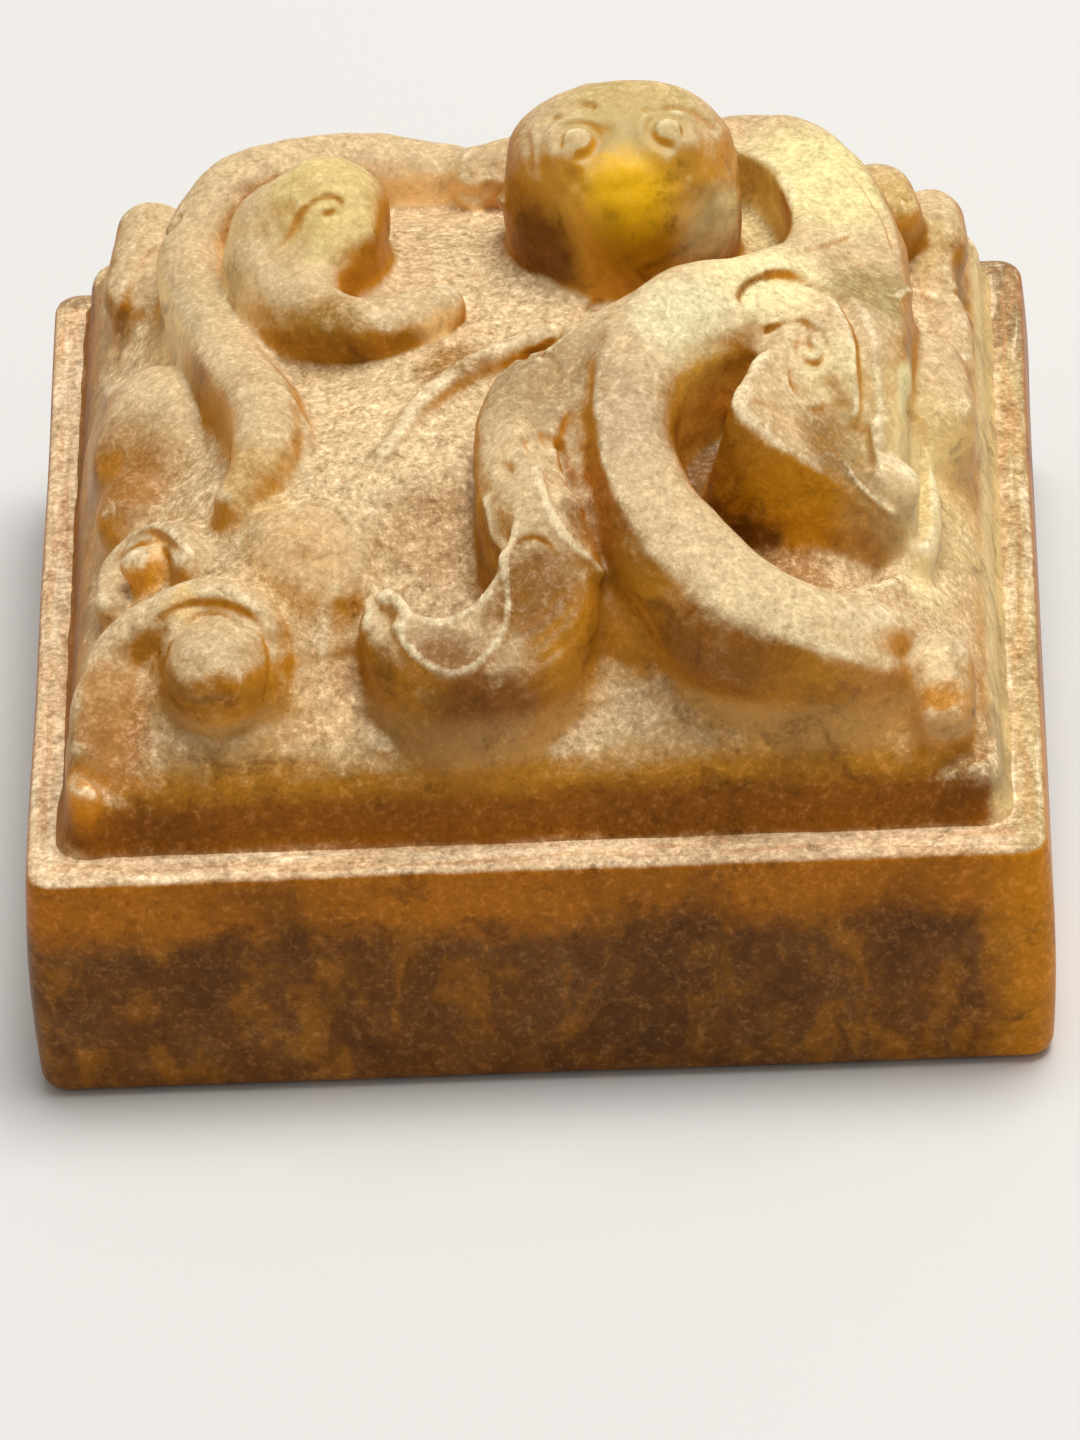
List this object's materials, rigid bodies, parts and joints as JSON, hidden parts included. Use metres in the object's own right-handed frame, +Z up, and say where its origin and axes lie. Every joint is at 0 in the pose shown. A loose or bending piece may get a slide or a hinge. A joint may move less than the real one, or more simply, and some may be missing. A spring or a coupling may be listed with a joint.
{
  "type": "seal stamp",
  "caption": "Square carved stone seal stamp: stepped block with a domed top, a curling dragon in high relief and a printing face underneath.",
  "frame": {"origin": "centre of the block at the printing face, on the surface it stands on", "axes": "+Z up from the printing face to the carved top, +X to the right and -Y towards the viewer with the dragon's head at the back facing forward"},
  "size_m": [0.045, 0.045, 0.0315],
  "materials": {
    "dark_stone": "polished, mottled dark brown",
    "honey_stone": "polished honey yellow",
    "peach_stone": "satin peach, granular",
    "sand_stone": "matt pink-tan, granular",
    "olive_stone": "satin yellow-green",
    "pale_stone": "satin greyish white",
    "rust_stone": "satin rust brown"
  },
  "bodies": {
    "root": {"seal_face": "dark_stone", "seal_block": "dark_stone", "upper_tier": "rust_stone", "dome_ground": "sand_stone", "dragon_head": "honey_stone", "dragon_body": "pale_stone", "dragon_haunch": "honey_stone", "dragon_neck": "olive_stone", "dragon_mane": "rust_stone", "front_limb": "rust_stone", "mane_wisp": "sand_stone", "left_limb": "peach_stone", "left_paw": "honey_stone", "left_paw_toe": "honey_stone", "spiral_disc": "sand_stone", "corner_bead": "honey_stone", "corner_curl": "rust_stone", "haunch_bead": "peach_stone", "haunch_claw": "olive_stone", "right_side_lobe": "honey_stone", "right_edge_curl": "sand_stone", "neck_lobe": "honey_stone", "right_corner_lobe": "rust_stone", "right_drop": "honey_stone", "left_side_lobe": "peach_stone", "left_side_lobe_low": "honey_stone", "left_ring_curl": "sand_stone", "left_corner_lobe": "peach_stone", "back_scroll": "sand_stone", "back_tail": "sand_stone"}
  },
  "joints": []
}
